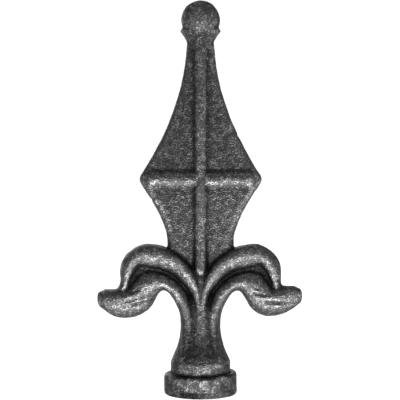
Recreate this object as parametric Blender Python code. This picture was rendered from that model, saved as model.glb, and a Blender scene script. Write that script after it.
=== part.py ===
"""Cast ball-topped fence spike: a flat spear blade over two curled leaves on a reeded stem.

Metres, +Z up. The origin is the centre of the flat underside, the spike is wide along X,
and Y = 0 is the parting plane: both faces of the casting are the same.
"""
import math

import bmesh
import bpy
from mathutils import Vector

# Driving sizes, in metres
BASE_DIAMETER = 0.0278
BASE_HEIGHT = 0.0078
BASE_EDGE_ROUND = 0.0010
BASE_EDGE_CHAMFER = 0.0004
FOOT_DIAMETER = 0.0227
FOOT_HEIGHT = 0.0046
STEM_WIDTH = 0.0150
STEM_DEPTH = 0.0124
FLARE_HEIGHT = 0.0126
REED_WIDTH = 0.0040
REED_RISE = 0.0010
REED_TOP_DROP = 0.0012
LEAF_REACH = 0.0394
LEAF_DEPTH = 0.0140
RIGHT_TIP_LIFT = 0.0013
RIGHT_TIP_SHORT = 0.0006
BLADE_LENGTH = 0.0747
BLADE_WIDTH = 0.0478
WAIST_WIDTH = 0.0252
NECK_WIDTH = 0.0102
CORNER_ROUND = 0.0018
PLATE_THICKNESS = 0.0064
EDGE_THICKNESS = 0.0026
EDGE_BEVEL = 0.0022
RIDGE_WIDTH = 0.0052
RIDGE_RISE = 0.0020
RIB_END_RISE = 0.0034
CROSS_RIDGE_WIDTH = 0.0064
CROSS_RIDGE_RISE = 0.0019
CROSS_RIDGE_HIP = 0.0050
COLLAR_WIDTH = 0.0154
COLLAR_DEPTH = 0.0104
COLLAR_HEIGHT = 0.0056
BALL_DIAMETER = 0.0148

# How fine the casting's surface is made
SURFACE_GRAIN = 0.0006
SMOOTHING_PASSES = 3
TRIANGLES = 9000

# Where the forms sit: the waist, fork, shoulder and rib tip as shares of the leaf's reach above
# the leaf's foot, the widest point as a share of the blade's length, the ball's sink of its radius
WAIST_SHARE = 0.87
FORK_SHARE = 0.38
SHOULDER_SHARE = 0.68
RIB_TIP_SHARE = 0.56
REED_TOP_SHARE = 0.47
WIDEST_SHARE = 0.30
BALL_SINK_SHARE = 0.41

# How the free curves run, each a share or a power
FLARE_STRAIGHT_RATIO = 0.25
FLANK_STRAIGHT_RATIO = 0.124
LOWER_FLANK_POWER = 1.42
PLATE_TAPER_RATIO = 0.14
REED_SPREAD_RATIO = 0.62
RIB_ROUNDNESS_RATIO = 2.5

# Heights, each stacked on the one below
FOOT_TOP = BASE_HEIGHT + FOOT_HEIGHT
LEAF_Z = FOOT_TOP + FLARE_HEIGHT
FORK_Z = LEAF_Z + FORK_SHARE * LEAF_REACH
WAIST_Z = LEAF_Z + WAIST_SHARE * LEAF_REACH
WIDEST_Z = WAIST_Z + WIDEST_SHARE * BLADE_LENGTH
NECK_Z = WAIST_Z + BLADE_LENGTH
COLLAR_TOP = NECK_Z + COLLAR_HEIGHT
BALL_Z = COLLAR_TOP + BALL_SINK_SHARE * BALL_DIAMETER / 2

# The leaf's rolls, as shares of the leaf's reach from the foot of the leaf: outward and upward of
# one edge, outward and upward of the other, half depth as a share of the leaf's half depth, and how
# far the crest leans to the second edge, as a share of the half breadth.
UPPER_ROLL = [
    (-0.024, 0.200, 0.065, 0.200, 0.96, 0.00),
    (-0.015, 0.380, 0.104, 0.336, 1.00, -0.10),
    (0.048, 0.534, 0.184, 0.423, 1.00, -0.22),
    (0.170, 0.681, 0.272, 0.508, 1.00, -0.26),
    (0.325, 0.778, 0.388, 0.555, 0.98, -0.26),
    (0.471, 0.810, 0.471, 0.569, 0.97, -0.24),
    (0.558, 0.808, 0.534, 0.588, 0.95, -0.18),
    (0.643, 0.772, 0.573, 0.594, 0.93, -0.08),
    (0.718, 0.712, 0.602, 0.573, 0.91, 0.02),
    (0.764, 0.639, 0.626, 0.542, 0.88, 0.10),
    (0.781, 0.559, 0.647, 0.501, 0.84, 0.14),
    (0.777, 0.472, 0.670, 0.453, 0.80, 0.14),
    (0.784, 0.420, 0.676, 0.410, 0.75, 0.10),
    (0.812, 0.376, 0.684, 0.365, 0.68, 0.00),
    (0.830, 0.335, 0.690, 0.325, 0.56, 0.00),
]
LOWER_ROLL = [
    (0.189, -0.001, 0.048, 0.006, 0.85, 0.00),
    (0.200, 0.135, 0.057, 0.181, 0.91, 0.00),
    (0.241, 0.237, 0.100, 0.307, 0.93, -0.05),
    (0.271, 0.288, 0.150, 0.385, 0.93, -0.08),
    (0.302, 0.332, 0.218, 0.453, 0.92, -0.12),
    (0.343, 0.361, 0.320, 0.517, 0.90, -0.12),
    (0.383, 0.354, 0.422, 0.548, 0.90, -0.05),
    (0.412, 0.322, 0.514, 0.557, 0.91, 0.00),
    (0.443, 0.268, 0.589, 0.534, 0.92, 0.08),
    (0.487, 0.198, 0.641, 0.477, 0.93, 0.15),
    (0.556, 0.142, 0.699, 0.414, 0.93, 0.20),
    (0.645, 0.103, 0.767, 0.383, 0.92, 0.24),
    (0.742, 0.093, 0.830, 0.372, 0.88, 0.24),
    (0.835, 0.112, 0.885, 0.372, 0.80, 0.22),
    (0.903, 0.150, 0.930, 0.370, 0.68, 0.15),
    (0.956, 0.190, 0.962, 0.350, 0.50, 0.05),
]
LOBE_END_RATIO = 0.56

# The thin web behind the hollow is a bar: outward, upward and half breadth in the same shares, then
# half depth.
LEAF_WEB = [
    (0.100, 0.250, 0.090, 0.45),
    (0.240, 0.440, 0.100, 0.36),
    (0.400, 0.540, 0.110, 0.34),
    (0.560, 0.530, 0.120, 0.36),
    (0.650, 0.420, 0.110, 0.50),
]

# The lobe at a leaf's tip lies out of the first share, below the last, and is all tip at the second
LOBE_START_SHARE = 0.55
LOBE_FULL_SHARE = 0.82
LOBE_TOP_SHARE = 0.385

# The collar's profile: share of its height, share of the way from neck to lip, share of its depth
COLLAR_PROFILE = [
    (-0.40, 0.00, 0.84),
    (0.00, 0.00, 0.86),
    (0.40, 0.45, 0.91),
    (0.74, 1.00, 1.00),
    (0.82, 1.00, 1.00),
    (1.04, 0.58, 0.88),
]

RING_SIDES = 24
SPAN_STEPS = 5
CAP_STEPS = 4


def mesh_object(name, bm):
    """Close a bmesh into a named object at the origin, its faces pointing out."""
    bmesh.ops.recalc_face_normals(bm, faces=bm.faces)
    mesh = bpy.data.meshes.new(name)
    bm.to_mesh(mesh)
    bm.free()
    made = bpy.data.objects.new(name, mesh)
    bpy.context.scene.collection.objects.link(made)
    return made


def loft(name, rings):
    """Skin a list of rings, each a list of points, and cap both ends."""
    bm = bmesh.new()
    made = [[bm.verts.new(point) for point in ring] for ring in rings]
    sides = len(rings[0])
    for low, high in zip(made, made[1:]):
        for i in range(sides):
            j = (i + 1) % sides
            bm.faces.new((low[i], low[j], high[j], high[i]))
    bm.faces.new(made[0])
    bm.faces.new(made[-1])
    return mesh_object(name, bm)


def smooth_rows(rows):
    """Read a Catmull-Rom curve through rows of numbers, SPAN_STEPS to a span."""
    padded = [rows[0]] + list(rows) + [rows[-1]]
    out = []
    for i in range(1, len(padded) - 2):
        before, start, end, after = padded[i - 1:i + 3]
        for step in range(SPAN_STEPS):
            t = step / SPAN_STEPS
            out.append([
                0.5 * (2 * b + (c - a) * t + (2 * a - 5 * b + 4 * c - d) * t * t
                       + (3 * b - a - 3 * c + d) * t ** 3)
                for a, b, c, d in zip(before, start, end, after)])
    out.append(list(rows[-1]))
    return out


def cross_section(centre, across, depth, lean, roundness):
    """Ring about centre: an oval where roundness is 2, and squarer above that."""
    ring = []
    for i in range(RING_SIDES):
        angle = 2 * math.pi * i / RING_SIDES
        c, s = math.cos(angle), math.sin(angle)
        side = math.copysign(abs(c) ** (2 / roundness), c)
        side += lean * (1 - side ** 2)
        front = math.copysign(abs(s) ** (2 / roundness), s) * depth
        ring.append(centre + across * side + Vector((0, front, 0)))
    return ring


def round_end(centre, across, depth, lean, outward, reach):
    """Shrinking stations beyond the end of a bar, over reach times its half breadth."""
    stations = []
    for step in range(1, CAP_STEPS):
        angle = math.pi / 2 * step / CAP_STEPS
        shrink = math.cos(angle)
        beyond = outward * across.length * reach * math.sin(angle)
        stations.append((centre + beyond, across * shrink, depth * shrink, lean))
    return stations


def banded_bar(name, rows, roundness=2.0, reach=1.0):
    """Round-ended bar between two edge lines: rows of (x, z) of each edge, half depth, lean."""
    stations = []
    for ax, az, bx, bz, depth, lean in smooth_rows(rows):
        centre = Vector(((ax + bx) / 2, 0, (az + bz) / 2))
        stations.append((centre, Vector(((bx - ax) / 2, 0, (bz - az) / 2)), depth, lean))
    tail_way = (stations[0][0] - stations[1][0]).normalized()
    head_way = (stations[-1][0] - stations[-2][0]).normalized()
    tail = round_end(*stations[0], tail_way, reach)
    head = round_end(*stations[-1], head_way, reach)
    every = list(reversed(tail)) + stations + head
    return loft(name, [cross_section(*station, roundness) for station in every])


def sweep(name, rows, roundness=2.0):
    """Round-ended bar along rows of (x, z, half breadth, half depth), in the parting plane."""
    points = [Vector((x, 0, z)) for x, z, _, _ in rows]
    last = len(points) - 1
    edges = []
    for i, (x, z, breadth, depth) in enumerate(rows):
        way = (points[min(i + 1, last)] - points[max(i - 1, 0)]).normalized()
        side = Vector((way.z, 0, -way.x)) * breadth
        edges.append((x - side.x, z - side.z, x + side.x, z + side.z, depth, 0.0))
    return banded_bar(name, edges, roundness)


def oval_stack(name, levels):
    """Upright body from levels of (z, half width, half depth)."""
    rings = []
    for z, half_width, half_depth in levels:
        rings.append([
            Vector((half_width * math.cos(2 * math.pi * i / RING_SIDES),
                    half_depth * math.sin(2 * math.pi * i / RING_SIDES), z))
            for i in range(RING_SIDES)])
    return loft(name, rings)


def stem_size(z):
    """Half width and half depth of the stem at height z, flaring to the foot below the leaves."""
    drop = min(1.0, max(0.0, (LEAF_Z - z) / FLARE_HEIGHT))
    flare = FLARE_STRAIGHT_RATIO * drop + (1 - FLARE_STRAIGHT_RATIO) * drop ** 2
    return [size + (FOOT_DIAMETER / 2 - size) * flare for size in (STEM_WIDTH / 2, STEM_DEPTH / 2)]


def stem():
    """Flared oval stem, from inside the base to a slim top inside the fork of the leaves."""
    foot_radius = FOOT_DIAMETER / 2
    levels = [(BASE_HEIGHT / 2, foot_radius, foot_radius), (FOOT_TOP, foot_radius, foot_radius)]
    steps = 10
    for i in range(1, steps + 1):
        z = FOOT_TOP + FLARE_HEIGHT * i / steps
        levels.append((z, *stem_size(z)))
    for climb, width_share, depth_share in ((0.5, 0.90, 0.92), (1.0, 0.50, 0.80)):
        levels.append((LEAF_Z + (FORK_Z - LEAF_Z) * climb, STEM_WIDTH / 2 * width_share,
                       STEM_DEPTH / 2 * depth_share))
    return oval_stack("stem", levels)


def reed_fade(climb):
    """How much of its rise a reed has, from the foot of the stem at 0 upward."""
    return min(1.0, 0.2 + 1.8 * climb)


def centre_reed():
    """Low reed up the middle of each face of the stem, from the foot to between the upper rolls."""
    rows = []
    start = FOOT_TOP + REED_RISE
    length = LEAF_Z + REED_TOP_SHARE * LEAF_REACH - start
    steps = 8
    for i in range(steps + 1):
        z = start + length * i / steps
        surface = stem_size(z)[1]
        crest = surface + REED_RISE * reed_fade(i / steps)
        breadth = ridge_half_breadth(REED_WIDTH, surface, crest)
        above_leaf_foot = max(0.0, z - LEAF_Z) / (REED_TOP_SHARE * LEAF_REACH)
        rows.append((0.0, z, breadth, crest - REED_TOP_DROP * above_leaf_foot))
    return sweep("centre_reed", rows)


def side_reed_rows(side):
    """Rows that carry a leaf's lower roll down the stem as its side reed."""
    rows = []
    start = FOOT_TOP + REED_RISE
    breadth = (LOWER_ROLL[0][0] - LOWER_ROLL[0][2]) / 2 * LEAF_REACH
    steps = 6
    for i in range(steps):
        z = start + (LEAF_Z - start) * i / steps
        half_width, half_depth = stem_size(z)
        middle = REED_SPREAD_RATIO * half_width
        crest = half_depth * math.sqrt(1 - REED_SPREAD_RATIO ** 2) + REED_RISE * reed_fade(i / steps)
        rows.append((side * (middle + breadth), z, side * (middle - breadth), z, crest, 0.0))
    return rows


def leaf_point(out, up, side):
    """Place a point of the leaf: the right leaf's lobe sits a little higher and shorter."""
    x, z = out * LEAF_REACH, LEAF_Z + up * LEAF_REACH
    if side > 0 and up < LOBE_TOP_SHARE:
        tip = (out - LOBE_START_SHARE) / (LOBE_FULL_SHARE - LOBE_START_SHARE)
        tip = min(1.0, max(0.0, tip))
        x -= RIGHT_TIP_SHORT * tip
        z += RIGHT_TIP_LIFT * tip
    return side * x, z


def leaf_roll(name, table, side, before=(), reach=1.0):
    """A roll of the leaf between its two edge lines; side is -1 for the left leaf, 1 for the right."""
    rows = list(before)
    for out_a, up_a, out_b, up_b, depth, lean in table:
        rows.append((*leaf_point(out_a, up_a, side), *leaf_point(out_b, up_b, side),
                     depth * LEAF_DEPTH / 2, lean))
    return banded_bar(name, rows, reach=reach)


def leaf_bar(name, table, side):
    """A bar of even breadth along a line of the leaf."""
    rows = []
    for out, up, breadth, depth in table:
        rows.append((*leaf_point(out, up, side), breadth * LEAF_REACH, depth * LEAF_DEPTH / 2))
    return sweep(name, rows)


def leaves():
    """Both curled leaves: a thick upper roll, a hollow under it, a lower roll ending in a lobe."""
    made = []
    for side in (-1, 1):
        made.append(leaf_roll("upper_roll", UPPER_ROLL, side))
        reed = side_reed_rows(side)
        made.append(leaf_roll("lower_roll", LOWER_ROLL, side, reed, LOBE_END_RATIO))
        made.append(leaf_bar("leaf_web", LEAF_WEB, side))
    return made


def blade_half_width(z):
    """Outline of the blade: hollow flanks above the widest point, a fuller sweep to the waist."""
    neck, widest, waist = NECK_WIDTH / 2, BLADE_WIDTH / 2, WAIST_WIDTH / 2
    above, below = NECK_Z - WIDEST_Z, WIDEST_Z - WAIST_Z
    upper_slope = (2 - FLANK_STRAIGHT_RATIO) * (widest - neck) / above
    lower_slope = LOWER_FLANK_POWER * (widest - waist) / below
    corner = max(0.0, 1 - abs(z - WIDEST_Z) / CORNER_ROUND)
    eased = (upper_slope + lower_slope) / 4 * CORNER_ROUND * corner ** 2
    if z >= WIDEST_Z:
        drop = min(1.0, max(0.0, (NECK_Z - z) / above))
        sweep_out = FLANK_STRAIGHT_RATIO * drop + (1 - FLANK_STRAIGHT_RATIO) * drop ** 2
        return neck + (widest - neck) * sweep_out - eased
    if z >= WAIST_Z:
        return waist + (widest - waist) * ((z - WAIST_Z) / below) ** LOWER_FLANK_POWER - eased
    shoulder = LEAF_Z + SHOULDER_SHARE * LEAF_REACH
    climb = min(1.0, max(0.0, (z - FORK_Z) / (shoulder - FORK_Z)))
    root_share = 0.12
    return waist * (root_share + (1 - root_share) * climb)


def plate_half_thickness(z):
    """The plate is thickest at the widest point and thins a little towards both ends."""
    reach = abs(z - WIDEST_Z) / BLADE_LENGTH
    return PLATE_THICKNESS / 2 * (1 - PLATE_TAPER_RATIO * min(1.0, reach))


def blade():
    """Flat plate with a bevelled edge, from the fork of the leaves into the collar."""
    top = NECK_Z + COLLAR_HEIGHT / 2
    low_corner, high_corner = WIDEST_Z - CORNER_ROUND, WIDEST_Z + CORNER_ROUND
    spans = ((FORK_Z, WAIST_Z, 10), (WAIST_Z, low_corner, 16), (low_corner, high_corner, 6),
             (high_corner, NECK_Z, 30), (NECK_Z, top, 2))
    heights = [low + (high - low) * i / count for low, high, count in spans for i in range(count)]
    bevel_knee, knee_height = 0.42, 0.72
    edge_limit, bevel_limit = 0.9, 0.8
    rings = []
    for z in heights + [top]:
        half_width = blade_half_width(z)
        face = plate_half_thickness(z)
        edge = min(EDGE_THICKNESS / 2, edge_limit * face)
        bevel = min(EDGE_BEVEL, bevel_limit * half_width)
        knee = (half_width - bevel_knee * bevel, edge + knee_height * (face - edge))
        quarter = [(half_width, edge), knee, (half_width - bevel, face)]
        front = quarter + [(-x, y) for x, y in reversed(quarter)]
        outline = front + [(x, -y) for x, y in reversed(front)]
        rings.append([Vector((x, y, z)) for x, y in outline])
    return loft("blade", rings)


def ridge_half_breadth(width, face, crest, roundness=2.0):
    """Half breadth at the parting plane of a ridge that is width wide where it leaves the face."""
    return width / 2 / (1 - (face / crest) ** roundness) ** (1 / roundness)


def upright_rib():
    """Rib down the middle of the blade, from a round tip over the leaves up to the collar."""
    tip = LEAF_Z + RIB_TIP_SHARE * LEAF_REACH
    low_at_neck, steps = 0.72, 16
    end_length = 0.16 * BLADE_LENGTH
    rows = []
    for i in range(steps + 1):
        z = tip + (NECK_Z - tip) * i / steps
        face = plate_half_thickness(z)
        crest = face + RIDGE_RISE * min(1.0, low_at_neck + 4 * (1 - i / steps))
        crest += (RIB_END_RISE - RIDGE_RISE) * max(0.0, 1 - (z - tip) / end_length)
        breadth = ridge_half_breadth(RIDGE_WIDTH, face, crest, RIB_ROUNDNESS_RATIO)
        rows.append((0.0, z, breadth, crest))
    return sweep("upright_rib", rows, RIB_ROUNDNESS_RATIO)


def cross_ridge():
    """Ridge between the blade's corners, with an end that hips down to each corner."""
    crest = PLATE_THICKNESS / 2 + CROSS_RIDGE_RISE
    breadth = ridge_half_breadth(CROSS_RIDGE_WIDTH, PLATE_THICKNESS / 2, crest)
    corner = BLADE_WIDTH / 2 - CORNER_ROUND / 2
    shoulder = corner - CROSS_RIDGE_HIP
    half = [(0.5 * shoulder, breadth, crest), (0.96 * shoulder, breadth, crest)]
    for hip, breadth_share, crest_share in ((0.25, 0.95, 0.93), (0.60, 0.62, 0.62), (0.95, 0.12, 0.26)):
        half.append((shoulder + hip * CROSS_RIDGE_HIP, breadth * breadth_share, crest * crest_share))
    rows = [(-x, WIDEST_Z, b, d) for x, b, d in reversed(half)]
    rows += [(x, WIDEST_Z, b, d) for x, b, d in half]
    return sweep("cross_ridge", rows)


def collar():
    """Flared cup under the ball, flatter from front to back, with a thin lip."""
    neck, lip = NECK_WIDTH / 2, COLLAR_WIDTH / 2
    levels = [(NECK_Z + rise * COLLAR_HEIGHT, neck + (lip - neck) * flare, depth * COLLAR_DEPTH / 2)
              for rise, flare, depth in COLLAR_PROFILE]
    return oval_stack("collar", levels)


def ball():
    """The ball, sunk a little into the collar."""
    bm = bmesh.new()
    bmesh.ops.create_uvsphere(bm, u_segments=32, v_segments=20, radius=BALL_DIAMETER / 2)
    bmesh.ops.translate(bm, verts=bm.verts, vec=(0, 0, BALL_Z))
    return mesh_object("ball", bm)


def base():
    """Turned disc with a rounded upper edge and a flat underside at z = 0."""
    radius = BASE_DIAMETER / 2
    profile = [(0, 0), (radius - BASE_EDGE_CHAMFER, 0), (radius, BASE_EDGE_CHAMFER)]
    steps = 4
    for i in range(steps + 1):
        angle = math.pi / 2 * i / steps
        profile.append((radius - BASE_EDGE_ROUND * (1 - math.cos(angle)),
                        BASE_HEIGHT - BASE_EDGE_ROUND * (1 - math.sin(angle))))
    profile.append((0, BASE_HEIGHT))
    bm = bmesh.new()
    verts = [bm.verts.new((x, 0, z)) for x, z in profile]
    edges = [bm.edges.new(pair) for pair in zip(verts, verts[1:])]
    bmesh.ops.spin(bm, geom=verts + edges, cent=(0, 0, 0), axis=(0, 0, 1), angle=2 * math.pi, steps=64)
    bmesh.ops.remove_doubles(bm, verts=bm.verts, dist=1e-6)
    return mesh_object("base_disc", bm)


def fuse(name, parts):
    """Put the overlapping bodies into one object and melt them into one cast skin."""
    bm = bmesh.new()
    for part in parts:
        bm.from_mesh(part.data)
        bpy.data.objects.remove(part)
    casting = mesh_object(name, bm)
    skin = casting.modifiers.new("cast_skin", "REMESH")
    skin.mode = "VOXEL"
    skin.voxel_size = SURFACE_GRAIN
    soften = casting.modifiers.new("soften", "SMOOTH")
    soften.factor = 0.5
    soften.iterations = SMOOTHING_PASSES
    return casting


def thin_out(casting):
    """Collapse the skin to the triangle count that the casting is allowed."""
    graph = bpy.context.evaluated_depsgraph_get()
    seen = casting.evaluated_get(graph)
    dense = sum(len(face.vertices) - 2 for face in seen.data.polygons)
    fewer = casting.modifiers.new("fewer_triangles", "DECIMATE")
    fewer.ratio = min(1.0, TRIANGLES / dense)


def cast_iron():
    """Dark grey bare iron."""
    material = bpy.data.materials.new("cast_iron")
    material.use_nodes = True
    shader = material.node_tree.nodes["Principled BSDF"]
    shader.inputs["Base Color"].default_value = (0.17, 0.17, 0.172, 1)
    shader.inputs["Metallic"].default_value = 0.85
    shader.inputs["Roughness"].default_value = 0.5
    return material


def build():
    """Make the casting, and seat its fused upper part on the turned base disc."""
    for old in list(bpy.data.objects):
        bpy.data.objects.remove(old)
    forms = [stem(), centre_reed(), blade(), upright_rib(), cross_ridge(), collar(), ball()] + leaves()
    casting = fuse("spike_casting", forms)
    thin_out(casting)
    disc = base()
    disc.hide_render = True
    disc.display_type = "WIRE"
    seat = casting.modifiers.new("base_disc", "BOOLEAN")
    seat.operation = "UNION"
    seat.object = disc
    casting.data.materials.append(cast_iron())
    casting.data.shade_smooth()


build()
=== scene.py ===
"""Looks of the cast fence spike: its forms with a fine sand-cast skin, grey iron and soft light."""
import math

import bmesh
import bpy
import numpy as np
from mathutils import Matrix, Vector, noise


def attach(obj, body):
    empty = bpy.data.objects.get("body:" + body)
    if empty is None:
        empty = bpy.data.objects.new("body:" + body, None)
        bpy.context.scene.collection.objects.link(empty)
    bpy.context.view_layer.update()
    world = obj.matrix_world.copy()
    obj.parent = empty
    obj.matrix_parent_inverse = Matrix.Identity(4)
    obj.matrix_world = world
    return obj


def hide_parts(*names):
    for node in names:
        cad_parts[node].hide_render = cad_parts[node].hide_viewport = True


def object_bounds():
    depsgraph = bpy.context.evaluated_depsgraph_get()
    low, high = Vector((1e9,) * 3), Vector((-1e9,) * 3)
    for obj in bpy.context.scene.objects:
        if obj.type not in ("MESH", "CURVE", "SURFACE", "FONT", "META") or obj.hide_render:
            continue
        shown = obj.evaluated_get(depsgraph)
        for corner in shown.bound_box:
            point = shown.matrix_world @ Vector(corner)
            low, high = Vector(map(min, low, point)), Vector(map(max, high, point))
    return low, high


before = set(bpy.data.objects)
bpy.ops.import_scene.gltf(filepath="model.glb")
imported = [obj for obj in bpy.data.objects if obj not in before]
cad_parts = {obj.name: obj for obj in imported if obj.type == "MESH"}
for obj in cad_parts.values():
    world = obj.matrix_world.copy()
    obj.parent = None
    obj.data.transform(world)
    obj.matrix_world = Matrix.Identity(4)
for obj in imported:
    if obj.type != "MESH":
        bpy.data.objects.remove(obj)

SOLID_LOW, SOLID_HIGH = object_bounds()

# Sizes of the casting's forms, in metres
BASE_RADIUS = 0.0139
BASE_HEIGHT = 0.0078
BASE_EDGE_ROUND = 0.0010
FOOT_RADIUS = 0.01135
FOOT_TOP = 0.0124
STEM_HALF_WIDTH = 0.0075
STEM_HALF_DEPTH = 0.0062
REED_WIDTH = 0.0040
REED_RISE = 0.0010
REED_TOP = 0.0435
REED_TOP_DROP = 0.0012
REED_SPREAD = 0.62
LEAF_Z = 0.0250
LEAF_REACH = 0.0394
LEAF_HALF_DEPTH = 0.0070
WAIST_Z = 0.0593
WIDEST_Z = 0.0817
NECK_Z = 0.1340
BLADE_HALF_WIDTH = 0.0239
WAIST_HALF_WIDTH = 0.0126
NECK_HALF_WIDTH = 0.0051
CORNER_ROUND = 0.0018
PLATE_HALF = 0.0032
EDGE_HALF = 0.0013
EDGE_BEVEL = 0.0022
RIDGE_WIDTH = 0.0052
RIDGE_RISE = 0.0020
RIB_END_RISE = 0.0034
CROSS_RIDGE_WIDTH = 0.0064
CROSS_RIDGE_RISE = 0.0019
CROSS_RIDGE_HIP = 0.0050
COLLAR_HALF_WIDTH = 0.0077
COLLAR_HALF_DEPTH = 0.0052
COLLAR_HEIGHT = 0.0056
BALL_RADIUS = 0.0074
BALL_Z = 0.14263

# Heights where the blade leaves the leaves, reaches its full waist, and where its rib ends
FORK_Z = LEAF_Z + 0.38 * LEAF_REACH
SHOULDER_Z = LEAF_Z + 0.68 * LEAF_REACH
RIB_END_Z = LEAF_Z + 0.56 * LEAF_REACH

# Spacing of the skin's mesh, coarser while trying
SKIN_VOXEL = 0.00045

# The leaf's forms as shares of its reach. The rolls are given by their two edges: outward and
# upward of one edge, outward and upward of the other, then half depth.
UPPER_ROLL = [
    (-0.024, 0.200, 0.065, 0.200, 0.96, 0.00),
    (-0.015, 0.380, 0.104, 0.336, 1.00, -0.10),
    (0.048, 0.534, 0.184, 0.423, 1.00, -0.22),
    (0.170, 0.681, 0.272, 0.508, 1.00, -0.26),
    (0.325, 0.778, 0.388, 0.555, 0.98, -0.26),
    (0.471, 0.810, 0.471, 0.569, 0.97, -0.24),
    (0.558, 0.808, 0.534, 0.588, 0.95, -0.18),
    (0.643, 0.772, 0.573, 0.594, 0.93, -0.08),
    (0.718, 0.712, 0.602, 0.573, 0.91, 0.02),
    (0.764, 0.639, 0.626, 0.542, 0.88, 0.10),
    (0.781, 0.559, 0.647, 0.501, 0.84, 0.14),
    (0.777, 0.472, 0.670, 0.453, 0.80, 0.14),
    (0.784, 0.420, 0.676, 0.410, 0.75, 0.10),
    (0.812, 0.376, 0.684, 0.365, 0.68, 0.00),
    (0.830, 0.335, 0.690, 0.325, 0.56, 0.00),
]
LOWER_ROLL = [
    (0.189, -0.001, 0.048, 0.006, 0.85, 0.00),
    (0.200, 0.135, 0.057, 0.181, 0.91, 0.00),
    (0.241, 0.237, 0.100, 0.307, 0.93, -0.05),
    (0.271, 0.288, 0.150, 0.385, 0.93, -0.08),
    (0.302, 0.332, 0.218, 0.453, 0.92, -0.12),
    (0.343, 0.361, 0.320, 0.517, 0.90, -0.12),
    (0.383, 0.354, 0.422, 0.548, 0.90, -0.05),
    (0.412, 0.322, 0.514, 0.557, 0.91, 0.00),
    (0.443, 0.268, 0.589, 0.534, 0.92, 0.08),
    (0.487, 0.198, 0.641, 0.477, 0.93, 0.15),
    (0.556, 0.142, 0.699, 0.414, 0.93, 0.20),
    (0.645, 0.103, 0.767, 0.383, 0.92, 0.24),
    (0.742, 0.093, 0.830, 0.372, 0.88, 0.24),
    (0.835, 0.112, 0.885, 0.372, 0.80, 0.22),
    (0.903, 0.150, 0.930, 0.370, 0.68, 0.15),
    (0.956, 0.190, 0.962, 0.350, 0.50, 0.05),
]
# The thin web behind is a bar: outward, upward, half breadth, half depth
LEAF_WEB = [
    (0.100, 0.250, 0.090, 0.45),
    (0.240, 0.440, 0.100, 0.36),
    (0.400, 0.540, 0.110, 0.34),
    (0.560, 0.530, 0.120, 0.36),
    (0.650, 0.420, 0.110, 0.50),
]
# The right lobe is lifted below LOBE_BELOW, not at all at LOBE_FROM and in full from LOBE_TO
LOBE_FROM = 0.55
LOBE_TO = 0.82
LOBE_BELOW = 0.385
RIGHT_TIP_LIFT = 0.0013
RIGHT_TIP_SHORT = 0.0006

# Lengthwise grooves on each lobe, outward and upward of both ends, width and depth in metres
LEFT_GROOVES = [
    (0.440, 0.330, 0.790, 0.245, 0.0011, 0.00040),
    (0.470, 0.275, 0.770, 0.200, 0.0013, 0.00050),
    (0.560, 0.398, 0.700, 0.330, 0.0012, 0.00028),
]
RIGHT_GROOVES = [
    (0.545, 0.262, 0.935, 0.205, 0.0015, 0.00065),
    (0.450, 0.355, 0.680, 0.305, 0.0012, 0.00040),
    (0.500, 0.405, 0.580, 0.375, 0.0010, 0.00035),
]

GROOVE_FADE = 0.35

# Small chips in the blade's edges: across and upward of the middle, reach and depth
EDGE_NICKS = [(-0.0186, 0.0741, 0.0008, 0.00034), (0.0148, 0.0986, 0.0008, 0.00030)]
SEAM_RISE = 0.00010
SEAM_HALF_WIDTH = 0.0006
SEAM_FADE = 0.002
DISC_EDGE_RISE = 0.0006
DISC_EDGE_REACH = 0.0016
DISC_EDGE_START, DISC_EDGE_FADE = 0.0003, 0.0008
DISC_RIGHT_FROM, DISC_RIGHT_FADE = 0.002, 0.008

# Unevenness that the sand leaves: height, wavelength and seed
UNEVENNESS = [(0.00012, 0.0070, 1), (0.00008, 0.0024, 2), (0.00007, 0.0012, 3)]
UNDERSIDE_FLAT = 0.00012
UNDERSIDE_CALM = 0.0004
UNDERSIDE_FADE = 0.0008

# Painted shade on the stem's faces: where it starts and how fast it fades, up the stem, down the stem
# and aside
STEM_SHADE_LOW, STEM_SHADE_LOW_FADE = 0.0125, 0.0030
STEM_SHADE_HIGH, STEM_SHADE_HIGH_FADE = 0.0400, 0.0130
STEM_SHADE_ASIDE, STEM_SHADE_ASIDE_FADE = 0.0095, 0.0030
# Stains in patches on the foot and the disc: top and fade, wavelength and seed
PATCH_HIGH, PATCH_FADE = 0.0140, 0.0015
PATCH_WAVELENGTH = 0.0030
PATCH_SEED = 5
# How much the painted shade on the stem and the stains darken the iron
SHADE_AND_STAINS_DARKEN = 0.45

# How many times the skin is smoothed to find its fine and its broad hollows, the depth of each
# kind that counts in full as painted shade, and the height of a raised place that counts in full as wear
NEAR_PASSES, NEAR_HOLLOW = 5, 0.00010
WIDE_PASSES, WIDE_HOLLOW, WIDE_PROUD = 40, 0.0007, 0.0008

# The painted highlight on the front of the disc's lower rim: middle and reach, across and upward
RIM_HIGHLIGHT_X, RIM_HIGHLIGHT_Z = 0.0052, 0.0012
RIM_HIGHLIGHT_ACROSS, RIM_HIGHLIGHT_UPWARD = 0.0042, 0.0016

# Soft lamps on the floor that shine up: name, across, forward, size, power
LOW_LAMPS = [
    ("low_glow", 0.07, -0.13, (0.34, 0.21), 0.165),
    ("right_glow", 0.14, -0.10, (0.16, 0.20), 0.075),
    ("near_glow", 0.0, -0.06, (0.16, 0.09), 0.088),
    ("far_glow", 0.0, -0.30, (0.40, 0.20), 0.05),
]
LOW_LAMP_Z = 0.002
# Soft lamps that shine at the middle of the spike: name, place, size, power
HIGH_LAMPS = [
    ("wide_top", (0.15, -0.45, 0.8), (1.2, 1.2), 0.44),
    ("right_side", (0.60, -0.08, 0.06), (0.3, 0.4), 0.24),
    ("behind", (-0.25, 0.9, 0.25), (0.7, 0.5), 1.0),
]

RING_SIDES = 32
SPAN_STEPS = 8
CAP_STEPS = 6


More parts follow.
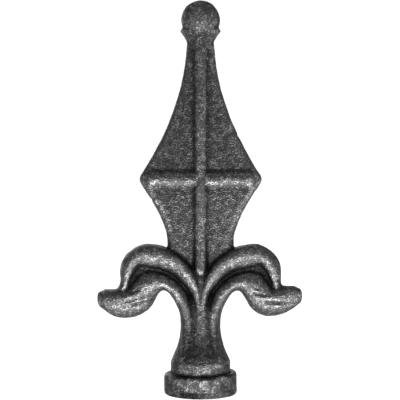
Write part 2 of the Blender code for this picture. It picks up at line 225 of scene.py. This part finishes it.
def mesh_object(name, bm):
    """Turn a working mesh into an object of the scene, its faces turned outward."""
    bmesh.ops.recalc_face_normals(bm, faces=bm.faces)
    mesh = bpy.data.meshes.new(name)
    bm.to_mesh(mesh)
    bm.free()
    made = bpy.data.objects.new(name, mesh)
    bpy.context.scene.collection.objects.link(made)
    return made


def loft(name, rings):
    """Skin a list of rings, each a list of points, and cap both ends."""
    bm = bmesh.new()
    made = [[bm.verts.new(point) for point in ring] for ring in rings]
    sides = len(rings[0])
    for low, high in zip(made, made[1:]):
        for i in range(sides):
            j = (i + 1) % sides
            bm.faces.new((low[i], low[j], high[j], high[i]))
    bm.faces.new(made[0])
    bm.faces.new(made[-1])
    return mesh_object(name, bm)


def smooth_rows(rows):
    """Read a Catmull-Rom curve through rows of numbers, SPAN_STEPS to a span."""
    padded = [rows[0]] + list(rows) + [rows[-1]]
    out = []
    for i in range(1, len(padded) - 2):
        before, start, end, after = padded[i - 1:i + 3]
        for step in range(SPAN_STEPS):
            t = step / SPAN_STEPS
            out.append([
                0.5 * (2 * b + (c - a) * t + (2 * a - 5 * b + 4 * c - d) * t * t
                       + (3 * b - a - 3 * c + d) * t ** 3)
                for a, b, c, d in zip(before, start, end, after)])
    out.append(list(rows[-1]))
    return out


def cross_section(centre, across, depth, lean, roundness):
    """Ring about centre: an oval where roundness is 2, and squarer above that."""
    ring = []
    for i in range(RING_SIDES):
        angle = 2 * math.pi * i / RING_SIDES
        c, s = math.cos(angle), math.sin(angle)
        side = math.copysign(abs(c) ** (2 / roundness), c)
        side += lean * (1 - side ** 2)
        front = math.copysign(abs(s) ** (2 / roundness), s) * depth
        ring.append(centre + across * side + Vector((0, front, 0)))
    return ring


def round_end(centre, across, depth, lean, outward, reach):
    """Shrinking stations beyond the end of a bar, over reach times its half breadth."""
    stations = []
    for step in range(1, CAP_STEPS):
        angle = math.pi / 2 * step / CAP_STEPS
        shrink = math.cos(angle)
        beyond = outward * across.length * reach * math.sin(angle)
        stations.append((centre + beyond, across * shrink, depth * shrink, lean))
    return stations


def banded_bar(name, rows, roundness=2.0, reach=1.0):
    """Round-ended bar between two edge lines: rows of (x, z) of each edge, half depth, lean."""
    stations = []
    for ax, az, bx, bz, depth, lean in smooth_rows(rows):
        centre = Vector(((ax + bx) / 2, 0, (az + bz) / 2))
        stations.append((centre, Vector(((bx - ax) / 2, 0, (bz - az) / 2)), depth, lean))
    starts = (stations[0][0] - stations[1][0]).normalized()
    ends = (stations[-1][0] - stations[-2][0]).normalized()
    tail = round_end(*stations[0], starts, reach)
    head = round_end(*stations[-1], ends, reach)
    every = list(reversed(tail)) + stations + head
    return loft(name, [cross_section(*station, roundness) for station in every])


def sweep(name, rows, roundness=2.0):
    """Round-ended bar along rows of (x, z, half breadth, half depth), in the parting plane."""
    points = [Vector((x, 0, z)) for x, z, _, _ in rows]
    last = len(points) - 1
    edges = []
    for i, (x, z, breadth, depth) in enumerate(rows):
        way = (points[min(i + 1, last)] - points[max(i - 1, 0)]).normalized()
        side = Vector((way.z, 0, -way.x)) * breadth
        edges.append((x - side.x, z - side.z, x + side.x, z + side.z, depth, 0.0))
    return banded_bar(name, edges, roundness)


def oval_stack(name, levels):
    """Upright body from levels of (z, half width, half depth)."""
    rings = []
    for z, half_width, half_depth in levels:
        rings.append([
            Vector((half_width * math.cos(2 * math.pi * i / RING_SIDES),
                    half_depth * math.sin(2 * math.pi * i / RING_SIDES), z))
            for i in range(RING_SIDES)])
    return loft(name, rings)


def stem_size(z):
    """Half width and half depth of the stem at a height."""
    drop = min(1.0, max(0.0, (LEAF_Z - z) / (LEAF_Z - FOOT_TOP)))
    flare = 0.25 * drop + 0.75 * drop ** 2
    return [size + (FOOT_RADIUS - size) * flare for size in (STEM_HALF_WIDTH, STEM_HALF_DEPTH)]


def stem():
    """Flared oval stem, from inside the base to the fork of the leaves."""
    levels = [(BASE_HEIGHT / 2, FOOT_RADIUS, FOOT_RADIUS), (FOOT_TOP, FOOT_RADIUS, FOOT_RADIUS)]
    steps = 16
    for i in range(1, steps + 1):
        z = FOOT_TOP + (LEAF_Z - FOOT_TOP) * i / steps
        levels.append((z, *stem_size(z)))
    between = LEAF_Z + (FORK_Z - LEAF_Z) / 2
    levels.append((between, STEM_HALF_WIDTH * 0.90, STEM_HALF_DEPTH * 0.92))
    levels.append((FORK_Z, STEM_HALF_WIDTH * 0.5, STEM_HALF_DEPTH * 0.80))
    return oval_stack("stem", levels)


def reed_fade(climb):
    """How much of its rise a reed has, from the foot of the stem at 0 upward."""
    return min(1.0, 0.2 + 1.8 * climb)


def centre_reed():
    """Low reed up the middle of each face of the stem, from the foot to between the upper rolls."""
    rows = []
    start = FOOT_TOP + REED_RISE
    length = REED_TOP - start
    steps = 8
    for i in range(steps + 1):
        z = start + length * i / steps
        surface = stem_size(z)[1]
        crest = surface + REED_RISE * reed_fade(i / steps)
        breadth = ridge_half_breadth(REED_WIDTH, surface, crest)
        above_leaf_foot = max(0.0, z - LEAF_Z) / (REED_TOP - LEAF_Z)
        rows.append((0.0, z, breadth, crest - REED_TOP_DROP * above_leaf_foot))
    return sweep("centre_reed", rows)


def side_reed_rows(side):
    """Rows that carry a leaf's lower roll down the stem as its side reed."""
    rows = []
    start = FOOT_TOP + REED_RISE
    breadth = (LOWER_ROLL[0][0] - LOWER_ROLL[0][2]) / 2 * LEAF_REACH
    steps = 6
    for i in range(steps):
        z = start + (LEAF_Z - start) * i / steps
        half_width, half_depth = stem_size(z)
        middle = REED_SPREAD * half_width
        crest = half_depth * math.sqrt(1 - REED_SPREAD ** 2) + REED_RISE * reed_fade(i / steps)
        rows.append((side * (middle + breadth), z, side * (middle - breadth), z, crest, 0.0))
    return rows


def leaf_point(out, up, side):
    """Place a point of the leaf: the right leaf's lobe sits a little higher and shorter."""
    reach, climb = out * LEAF_REACH, LEAF_Z + up * LEAF_REACH
    if side > 0 and up < LOBE_BELOW:
        tip = min(1.0, max(0.0, (out - LOBE_FROM) / (LOBE_TO - LOBE_FROM)))
        climb += RIGHT_TIP_LIFT * tip
        reach -= RIGHT_TIP_SHORT * tip
    return side * reach, climb


def leaf_roll(name, table, side, before=(), reach=1.0):
    """A roll of the leaf between its two edge lines; side is -1 for the left leaf, 1 for the right."""
    rows = list(before)
    for out_a, up_a, out_b, up_b, depth, lean in table:
        rows.append((*leaf_point(out_a, up_a, side), *leaf_point(out_b, up_b, side),
                     depth * LEAF_HALF_DEPTH, lean))
    return banded_bar(name, rows, 2.0, reach)


def leaf_bar(name, table, side):
    """A bar of the leaf along its middle line, with its own half breadth and depth."""
    rows = []
    for out, up, breadth, depth in table:
        rows.append((*leaf_point(out, up, side), breadth * LEAF_REACH, depth * LEAF_HALF_DEPTH))
    return sweep(name, rows)


def leaves():
    """Both leaves, each of an upper roll, a lower roll with its lobe, and a web behind."""
    made = []
    for side in (-1, 1):
        made.append(leaf_roll("upper_roll", UPPER_ROLL, side))
        made.append(leaf_roll("lower_roll", LOWER_ROLL, side, side_reed_rows(side), 0.56))
        made.append(leaf_bar("leaf_web", LEAF_WEB, side))
    return made


def blade_half_width(z):
    """Outline of the blade: hollow flanks above the widest point, a fuller sweep to the waist."""
    neck, widest, waist = NECK_HALF_WIDTH, BLADE_HALF_WIDTH, WAIST_HALF_WIDTH
    above, below = NECK_Z - WIDEST_Z, WIDEST_Z - WAIST_Z
    flank = 0.5 * (1.876 * (widest - neck) / above + 1.42 * (widest - waist) / below)
    corner = max(0.0, 1 - abs(z - WIDEST_Z) / CORNER_ROUND)
    eased = flank * CORNER_ROUND / 2 * corner ** 2
    if z >= WIDEST_Z:
        drop = min(1.0, max(0.0, (NECK_Z - z) / above))
        return neck + (widest - neck) * (0.124 * drop + 0.876 * drop ** 2) - eased
    if z >= WAIST_Z:
        return waist + (widest - waist) * ((z - WAIST_Z) / below) ** 1.42 - eased
    climb = min(1.0, max(0.0, (z - FORK_Z) / (SHOULDER_Z - FORK_Z)))
    return waist * (0.12 + 0.88 * climb)


def plate_half_thickness(z):
    """Half the thickness of the blade, a little thinner towards its ends."""
    reach = min(1.0, abs(z - WIDEST_Z) / (NECK_Z - WAIST_Z))
    return PLATE_HALF * (1 - 0.14 * reach)


def blade():
    """Flat plate with a bevelled edge, from the fork of the leaves into the collar."""
    top = NECK_Z + COLLAR_HEIGHT / 2
    bevel_knee, knee_height = 0.42, 0.72
    bevel_limit = 0.8
    low_corner, high_corner = WIDEST_Z - CORNER_ROUND, WIDEST_Z + CORNER_ROUND
    spans = ((FORK_Z, WAIST_Z, 16), (WAIST_Z, low_corner, 30), (low_corner, high_corner, 12),
             (high_corner, NECK_Z, 60), (NECK_Z, top, 2))
    heights = [low + (high - low) * i / count for low, high, count in spans for i in range(count)]
    rings = []
    for z in heights + [top]:
        half_width = blade_half_width(z)
        face = plate_half_thickness(z)
        bevel = min(EDGE_BEVEL, bevel_limit * half_width)
        knee = (half_width - bevel_knee * bevel, EDGE_HALF + knee_height * (face - EDGE_HALF))
        quarter = [(half_width, EDGE_HALF), knee, (half_width - bevel, face)]
        front = quarter + [(-x, y) for x, y in reversed(quarter)]
        outline = front + [(x, -y) for x, y in reversed(front)]
        rings.append([Vector((x, y, z)) for x, y in outline])
    return loft("blade", rings)


def ridge_half_breadth(width, face, crest, roundness=2.0):
    """Half breadth of a round bar that shows the given width where it leaves the face."""
    return width / 2 / (1 - (face / crest) ** roundness) ** (1 / roundness)


def ridges():
    """Upright rib down the middle of the blade, and the cross ridge with its hipped ends."""
    rib_roundness = 2.5
    end_reach = 0.16 * (NECK_Z - WAIST_Z)
    steps = 16
    rows = []
    for i in range(steps + 1):
        z = RIB_END_Z + (NECK_Z - RIB_END_Z) * i / steps
        face = plate_half_thickness(z)
        crest = face + RIDGE_RISE * min(1.0, 0.72 + 4 * (1 - i / steps))
        crest += (RIB_END_RISE - RIDGE_RISE) * max(0.0, 1 - (z - RIB_END_Z) / end_reach)
        rows.append((0.0, z, ridge_half_breadth(RIDGE_WIDTH, face, crest, rib_roundness), crest))
    upright = sweep("upright_ridge", rows, rib_roundness)

    face = plate_half_thickness(WIDEST_Z)
    crest = face + CROSS_RIDGE_RISE
    breadth = ridge_half_breadth(CROSS_RIDGE_WIDTH, face, crest)
    corner = BLADE_HALF_WIDTH - CORNER_ROUND / 2
    shoulder = corner - CROSS_RIDGE_HIP
    half = [(shoulder * 0.5, breadth, crest), (shoulder * 0.96, breadth, crest),
            (shoulder + 0.25 * CROSS_RIDGE_HIP, breadth * 0.95, crest * 0.93),
            (shoulder + 0.60 * CROSS_RIDGE_HIP, breadth * 0.62, crest * 0.62),
            (corner - 0.05 * CROSS_RIDGE_HIP, breadth * 0.12, crest * 0.26)]
    rows = [(-x, WIDEST_Z, b, d) for x, b, d in reversed(half)]
    rows += [(x, WIDEST_Z, b, d) for x, b, d in half]
    return [upright, sweep("cross_ridge", rows)]


def collar():
    """Flared cup under the ball, flatter from front to back, with a thin lip."""
    foot, rim = NECK_HALF_WIDTH, COLLAR_HALF_WIDTH
    profile = [(-0.40, foot, 0.84), (0.0, foot, 0.86), (0.40, 0.55 * foot + 0.45 * rim, 0.91),
               (0.74, rim, 1.0), (0.82, rim, 1.0), (1.04, 0.86 * rim, 0.88)]
    levels = [(NECK_Z + share * COLLAR_HEIGHT, width, depth * COLLAR_HALF_DEPTH)
              for share, width, depth in profile]
    return oval_stack("collar", levels)


def ball():
    bm = bmesh.new()
    bmesh.ops.create_uvsphere(bm, u_segments=48, v_segments=32, radius=BALL_RADIUS)
    bmesh.ops.translate(bm, verts=bm.verts, vec=(0, 0, BALL_Z))
    return mesh_object("ball", bm)


def base():
    """Disc with a rounded upper edge and a slightly broken lower one."""
    broken = 0.5 * BASE_EDGE_ROUND
    levels = [(0.0, BASE_RADIUS - broken), (broken, BASE_RADIUS)]
    steps = 6
    for i in range(steps + 1):
        angle = math.pi / 2 * i / steps
        levels.append((BASE_HEIGHT - BASE_EDGE_ROUND * (1 - math.sin(angle)),
                       BASE_RADIUS - BASE_EDGE_ROUND * (1 - math.cos(angle))))
    return oval_stack("base_disc", [(z, radius, radius) for z, radius in levels])


def fuse(name, parts):
    """Melt the overlapping forms into one skin, and give it back as a plain mesh."""
    bm = bmesh.new()
    for part in parts:
        bm.from_mesh(part.data)
        bpy.data.objects.remove(part)
    rough = mesh_object(name + "_forms", bm)
    skin = rough.modifiers.new("cast_skin", "REMESH")
    skin.mode = "VOXEL"
    skin.voxel_size = SKIN_VOXEL
    soften = rough.modifiers.new("soften", "SMOOTH")
    soften.factor = 0.5
    soften.iterations = 3
    graph = bpy.context.evaluated_depsgraph_get()
    mesh = bpy.data.meshes.new_from_object(rough.evaluated_get(graph))
    bpy.data.objects.remove(rough)
    mesh.name = name
    made = bpy.data.objects.new(name, mesh)
    bpy.context.scene.collection.objects.link(made)
    return made


def read_points(mesh):
    flat = np.empty(len(mesh.vertices) * 3, dtype=np.float32)
    mesh.vertices.foreach_get("co", flat)
    return flat.reshape(-1, 3).astype(float)


def read_normals(mesh):
    flat = np.empty(len(mesh.vertices) * 3, dtype=np.float32)
    mesh.vertex_normals.foreach_get("vector", flat)
    return flat.reshape(-1, 3).astype(float)


def read_edges(mesh):
    flat = np.empty(len(mesh.edges) * 2, dtype=np.int32)
    mesh.edges.foreach_get("vertices", flat)
    return flat.reshape(-1, 2)


def write_points(mesh, points):
    mesh.vertices.foreach_set("co", points.astype(np.float32).ravel())
    mesh.update()


def neighbour_mean(values, edges, count):
    """Mean of each point's neighbours, for one number or a vector at each point."""
    total = np.zeros_like(values)
    np.add.at(total, edges[:, 0], values[edges[:, 1]])
    np.add.at(total, edges[:, 1], values[edges[:, 0]])
    shape = (-1,) + (1,) * (values.ndim - 1)
    return total / count.reshape(shape)


def hollow_measure(mesh, passes):
    """How far each point lies below (positive) or above (negative) its smoothed surroundings."""
    points = read_points(mesh)
    normals = read_normals(mesh)
    edges = read_edges(mesh)
    count = np.maximum(1, np.bincount(edges.ravel(), minlength=len(points))).astype(float)
    smooth = points.copy()
    for _ in range(passes):
        smooth = 0.5 * smooth + 0.5 * neighbour_mean(smooth, edges, count)
    return ((smooth - points) * normals).sum(axis=1)


def grain_field(points, wavelength, seed):
    """Seeded smooth noise at each point, about -1 to 1."""
    shift = Vector((seed * 7.31, seed * 3.17, seed * 5.73))
    scale = 1 / wavelength
    return np.array([noise.noise(Vector(p) * scale + shift) for p in points])


def groove_depth(points, start, end, width, depth):
    """Depth of a groove along a line in the parting plane, fading at both its ends."""
    start, end = np.array(start), np.array(end)
    line = end - start
    length = np.linalg.norm(line)
    line /= length
    flat = points[:, (0, 2)] - start
    along = flat @ line / length
    aside = np.abs(flat[:, 0] * line[1] - flat[:, 1] * line[0])
    taper = np.clip(np.minimum(along, 1 - along) / GROOVE_FADE, 0, 1)
    return depth * taper * np.exp(-(2 * aside / width) ** 2)


def lobe_grooves(points):
    """Depth of the grooves on both lobes."""
    cut = np.zeros(len(points))
    for side, grooves in ((-1, LEFT_GROOVES), (1, RIGHT_GROOVES)):
        for out_a, up_a, out_b, up_b, width, depth in grooves:
            start, end = leaf_point(out_a, up_a, side), leaf_point(out_b, up_b, side)
            cut += groove_depth(points, start, end, width, depth)
    return cut


def edge_nicks(points):
    """Depth of the chips in the blade's edges."""
    cut = np.zeros(len(points))
    for x, z, reach, depth in EDGE_NICKS:
        cut += depth * np.exp(-((points[:, 0] - x) ** 2 + (points[:, 2] - z) ** 2) / reach ** 2)
    return cut


def casting_seam(points):
    """Low bead where the two halves of the mould met, from the foot up to the collar."""
    run = np.clip((points[:, 2] - FOOT_TOP) / SEAM_FADE, 0, 1)
    run *= np.clip((NECK_Z - points[:, 2]) / SEAM_FADE, 0, 1)
    return SEAM_RISE * run * np.exp(-(points[:, 1] / SEAM_HALF_WIDTH) ** 2)


def uneven_disc(points):
    """How much higher the disc's upper edge stands on its right side, as in the photograph."""
    radius = np.hypot(points[:, 0], points[:, 1])
    outside = np.clip((radius - FOOT_RADIUS - DISC_EDGE_START) / DISC_EDGE_FADE, 0, 1)
    right = np.clip((points[:, 0] - DISC_RIGHT_FROM) / DISC_RIGHT_FADE, 0, 1)
    near = np.exp(-((points[:, 2] - BASE_HEIGHT) / DISC_EDGE_REACH) ** 2)
    return DISC_EDGE_RISE * outside * right * near


def cast_surface(casting):
    """Work in the mould's unevenness, grooves, seam and chips, inside the solid's box and flat below."""
    mesh = casting.data
    points = read_points(mesh)
    normals = read_normals(mesh)
    lift = np.zeros(len(points))
    for height, wavelength, seed in UNEVENNESS:
        lift += height * grain_field(points, wavelength, seed)
    lift -= lobe_grooves(points) * np.clip(np.abs(normals[:, 1]) * 1.5, 0, 1)
    lift += casting_seam(points) - edge_nicks(points)
    held = np.clip((points[:, 2] - UNDERSIDE_CALM) / UNDERSIDE_FADE, 0, 1)
    points += normals * (lift * held)[:, None]
    points[:, 2] += uneven_disc(points)
    points = np.clip(points, np.array(SOLID_LOW), np.array(SOLID_HIGH))
    points[points[:, 2] < UNDERSIDE_FLAT, 2] = 0.0
    write_points(mesh, points)


def stem_shade_and_stains(mesh):
    """From 0 to 1: painted shade, even on the faces of the stem, and stains in patches on the foot and
    the disc.
    """
    points = read_points(mesh)
    height, aside = points[:, 2], np.abs(points[:, 0])
    above = np.clip((height - STEM_SHADE_LOW) / STEM_SHADE_LOW_FADE, 0, 1)
    below = np.clip((STEM_SHADE_HIGH - height) / STEM_SHADE_HIGH_FADE, 0, 1)
    # Painted shade on the stem's faces, between the foot and the leaves
    faces = above * below * np.clip((STEM_SHADE_ASIDE - aside) / STEM_SHADE_ASIDE_FADE, 0, 1)
    patches = np.clip(0.50 + 2.4 * grain_field(points, PATCH_WAVELENGTH, PATCH_SEED), 0, 1)
    return np.maximum(faces, patches * np.clip((PATCH_HIGH - height) / PATCH_FADE, 0, 1))


def painted_rim_highlight(mesh):
    """A painted highlight on the front of the disc's lower rim."""
    points = read_points(mesh)
    across = ((points[:, 0] - RIM_HIGHLIGHT_X) / RIM_HIGHLIGHT_ACROSS) ** 2
    upward = ((points[:, 2] - RIM_HIGHLIGHT_Z) / RIM_HIGHLIGHT_UPWARD) ** 2
    return np.exp(-across - upward) * (points[:, 1] < 0)


def add_masks(casting):
    """Store on each point its painted shade in creases, hollows and on the stem's faces, with stains in
    patches, and its wear on raised places with a painted highlight on the disc's rim, for the iron to
    read.
    """
    mesh = casting.data
    near = hollow_measure(mesh, NEAR_PASSES)
    wide = hollow_measure(mesh, WIDE_PASSES)
    # Painted shade: darker in fine creases and broad hollows, where shade falls
    hollow = np.clip(near / NEAR_HOLLOW, 0, 1) * 0.5 + np.clip(wide / WIDE_HOLLOW, 0, 1) * 0.6
    wear_and_highlight = np.clip(-wide / WIDE_PROUD, 0, 1)
    shade_and_stains = stem_shade_and_stains(mesh)
    rim_highlight = painted_rim_highlight(mesh)
    # The painted shade on the stem and the stains darken, and take away the wear there
    hollow += SHADE_AND_STAINS_DARKEN * shade_and_stains
    # The painted highlight on the disc's rim brightens like wear, and the painted shade is taken away
    # under it
    wear_and_highlight = np.maximum(wear_and_highlight * (1 - shade_and_stains), rim_highlight)
    hollow *= 1 - rim_highlight
    for name, values in (("hollow", hollow), ("wear_and_highlight", wear_and_highlight)):
        layer = mesh.attributes.new(name, "FLOAT", "POINT")
        layer.data.foreach_set("value", np.clip(values, 0, 1).astype(np.float32))


def socket(group, name, kind, way, value=None):
    made = group.interface.new_socket(name=name, in_out=way, socket_type=kind)
    if value is not None:
        made.default_value = value
    return made


def sand_grain_group():
    """Sand-cast grain: a height for the bump, and a sparse mask of rubbed bright specks."""
    group = bpy.data.node_groups.new("sand_grain", "ShaderNodeTree")
    socket(group, "Grain Size", "NodeSocketFloat", "INPUT", 0.0007)
    socket(group, "Height", "NodeSocketFloat", "OUTPUT")
    socket(group, "Specks", "NodeSocketFloat", "OUTPUT")
    nodes, links = group.nodes, group.links
    given = nodes.new("NodeGroupInput")
    out = nodes.new("NodeGroupOutput")
    place = nodes.new("ShaderNodeTexCoord")
    layers = []
    for coarser, detail in ((1.0, 1.0), (3.5, 2.0)):
        scale = nodes.new("ShaderNodeMath")
        scale.operation = "DIVIDE"
        scale.inputs[0].default_value = 1.0 / coarser
        links.new(given.outputs["Grain Size"], scale.inputs[1])
        grain = nodes.new("ShaderNodeTexNoise")
        grain.inputs["Detail"].default_value = detail
        links.new(place.outputs["Object"], grain.inputs["Vector"])
        links.new(scale.outputs[0], grain.inputs["Scale"])
        layers.append(grain)
    mixed = nodes.new("ShaderNodeMix")
    mixed.inputs["Factor"].default_value = 0.40
    links.new(layers[0].outputs["Fac"], mixed.inputs["A"])
    links.new(layers[1].outputs["Fac"], mixed.inputs["B"])
    links.new(mixed.outputs["Result"], out.inputs["Height"])
    bright = nodes.new("ShaderNodeMapRange")
    bright.inputs["From Min"].default_value = 0.50
    bright.inputs["From Max"].default_value = 0.66
    links.new(mixed.outputs["Result"], bright.inputs["Value"])
    links.new(bright.outputs["Result"], out.inputs["Specks"])
    return group


def cast_iron(grain):
    """Grey sand-cast iron with painted shade in its hollows and on its stem, darker stains in patches,
    rubbed bright on its high grains and with a painted highlight on the disc's rim.
    """
    material = bpy.data.materials.new("cast_iron")
    material.use_nodes = True
    nodes, links = material.node_tree.nodes, material.node_tree.links
    shader = nodes["Principled BSDF"]
    shader.inputs["Metallic"].default_value = 1.0

    fine = nodes.new("ShaderNodeGroup")
    fine.node_tree = grain
    fine.inputs["Grain Size"].default_value = 0.00052

    # Wear on raised places, and the painted highlight on the disc's rim, brighten the skin and its
    # specks
    wear_and_highlight = nodes.new("ShaderNodeAttribute")
    wear_and_highlight.attribute_name = "wear_and_highlight"
    rubbed = nodes.new("ShaderNodeMapRange")
    rubbed.inputs["To Min"].default_value = 0.55
    rubbed.inputs["To Max"].default_value = 1.8
    links.new(wear_and_highlight.outputs["Fac"], rubbed.inputs["Value"])
    speckle = nodes.new("ShaderNodeMath")
    speckle.operation = "MULTIPLY"
    links.new(fine.outputs["Specks"], speckle.inputs[0])
    links.new(rubbed.outputs["Result"], speckle.inputs[1])

    skin = nodes.new("ShaderNodeMix")
    skin.data_type = "RGBA"
    skin.inputs["A"].default_value = (0.11, 0.11, 0.112, 1)
    skin.inputs["B"].default_value = (0.38, 0.38, 0.378, 1)
    links.new(wear_and_highlight.outputs["Fac"], skin.inputs["Factor"])
    tone = nodes.new("ShaderNodeMix")
    tone.data_type = "RGBA"
    links.new(skin.outputs["Result"], tone.inputs["A"])
    tone.inputs["B"].default_value = (0.85, 0.85, 0.845, 1)
    links.new(speckle.outputs[0], tone.inputs["Factor"])

    # Painted shade: the hollow mask darkens creases, hollows and the stem's faces, and carries the
    # stains too
    hollow = nodes.new("ShaderNodeAttribute")
    hollow.attribute_name = "hollow"
    darker = nodes.new("ShaderNodeMix")
    darker.data_type = "RGBA"
    darker.inputs["B"].default_value = (0.035, 0.035, 0.036, 1)
    links.new(hollow.outputs["Fac"], darker.inputs["Factor"])
    links.new(tone.outputs["Result"], darker.inputs["A"])
    links.new(darker.outputs["Result"], shader.inputs["Base Color"])

    rough = nodes.new("ShaderNodeMapRange")
    rough.inputs["To Min"].default_value = 0.40
    rough.inputs["To Max"].default_value = 0.28
    links.new(fine.outputs["Specks"], rough.inputs["Value"])
    links.new(rough.outputs["Result"], shader.inputs["Roughness"])

    bump = nodes.new("ShaderNodeBump")
    bump.inputs["Strength"].default_value = 1.0
    bump.inputs["Distance"].default_value = 0.0005
    links.new(fine.outputs["Height"], bump.inputs["Height"])
    links.new(bump.outputs["Normal"], shader.inputs["Normal"])
    return material


def make_casting():
    """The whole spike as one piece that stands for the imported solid."""
    forms = [stem(), centre_reed(), blade(), collar(), ball(), base()] + leaves() + ridges()
    casting = fuse("spike", forms)
    cast_surface(casting)
    add_masks(casting)
    casting.data.materials.append(cast_iron(sand_grain_group()))
    casting.data.shade_smooth()
    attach(casting, "root")
    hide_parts("spike_casting")


def pale_floor():
    """White matt floor that glows to the eye, so that only a soft shadow shows on it."""
    material = bpy.data.materials.new("pale_floor")
    material.use_nodes = True
    nodes, links = material.node_tree.nodes, material.node_tree.links
    shader = nodes["Principled BSDF"]
    shader.inputs["Base Color"].default_value = (0.9, 0.9, 0.9, 1)
    shader.inputs["Roughness"].default_value = 0.9
    shader.inputs["Emission Color"].default_value = (1, 1, 1, 1)
    path = nodes.new("ShaderNodeLightPath")
    glow = nodes.new("ShaderNodeMapRange")
    glow.inputs["To Min"].default_value = 0.18
    glow.inputs["To Max"].default_value = 1.05
    links.new(path.outputs["Is Camera Ray"], glow.inputs["Value"])
    links.new(glow.outputs["Result"], shader.inputs["Emission Strength"])
    return material


def make_floor():
    bm = bmesh.new()
    bmesh.ops.create_grid(bm, x_segments=1, y_segments=1, size=8.0)
    floor = mesh_object("floor", bm)
    floor.data.materials.append(pale_floor())


def area_light(name, place, target, size, power):
    lamp = bpy.data.lights.new(name, "AREA")
    lamp.shape = "RECTANGLE"
    lamp.size, lamp.size_y = size
    lamp.energy = power
    made = bpy.data.objects.new(name, lamp)
    made.location = place
    made.rotation_mode = "QUATERNION"
    made.rotation_quaternion = (Vector(target) - Vector(place)).to_track_quat("-Z", "Y")
    made.visible_camera = False
    bpy.context.scene.collection.objects.link(made)


def make_light():
    """World white to the eye and dim in reflections, with soft lamps low in front, above and around."""
    world = bpy.data.worlds.new("studio")
    bpy.context.scene.world = world
    world.use_nodes = True
    nodes, links = world.node_tree.nodes, world.node_tree.links
    seen = nodes["Background"]
    seen.inputs["Color"].default_value = (1, 1, 1, 1)
    seen.inputs["Strength"].default_value = 1.1
    around = nodes.new("ShaderNodeBackground")
    around.inputs["Color"].default_value = (1, 1, 1, 1)
    around.inputs["Strength"].default_value = 0.15
    path = nodes.new("ShaderNodeLightPath")
    mix = nodes.new("ShaderNodeMixShader")
    links.new(path.outputs["Is Camera Ray"], mix.inputs["Fac"])
    links.new(around.outputs["Background"], mix.inputs[1])
    links.new(seen.outputs["Background"], mix.inputs[2])
    links.new(mix.outputs["Shader"], nodes["World Output"].inputs["Surface"])

    for name, x, y, size, power in LOW_LAMPS:
        area_light(name, (x, y, LOW_LAMP_Z), (x, y, 1.0), size, power)
    middle = (0, 0, 0.07)
    for name, place, size, power in HIGH_LAMPS:
        area_light(name, place, middle, size, power)


def make_camera():
    """Level camera in front, at a distance and height fitted to the photograph."""
    distance = 0.400
    eye_height = 0.0738
    eye_x = -0.0002
    seen_width = 0.1530
    lens = bpy.data.cameras.new("camera")
    lens.sensor_width = 36.0
    lens.lens = lens.sensor_width * distance / seen_width
    camera = bpy.data.objects.new("camera", lens)
    camera.location = (eye_x, -distance, eye_height)
    camera.rotation_euler = (math.pi / 2, 0, 0)
    bpy.context.scene.collection.objects.link(camera)
    bpy.context.scene.camera = camera


make_camera()
make_casting()
make_floor()
make_light()
bpy.context.scene.view_settings.view_transform = "Standard"
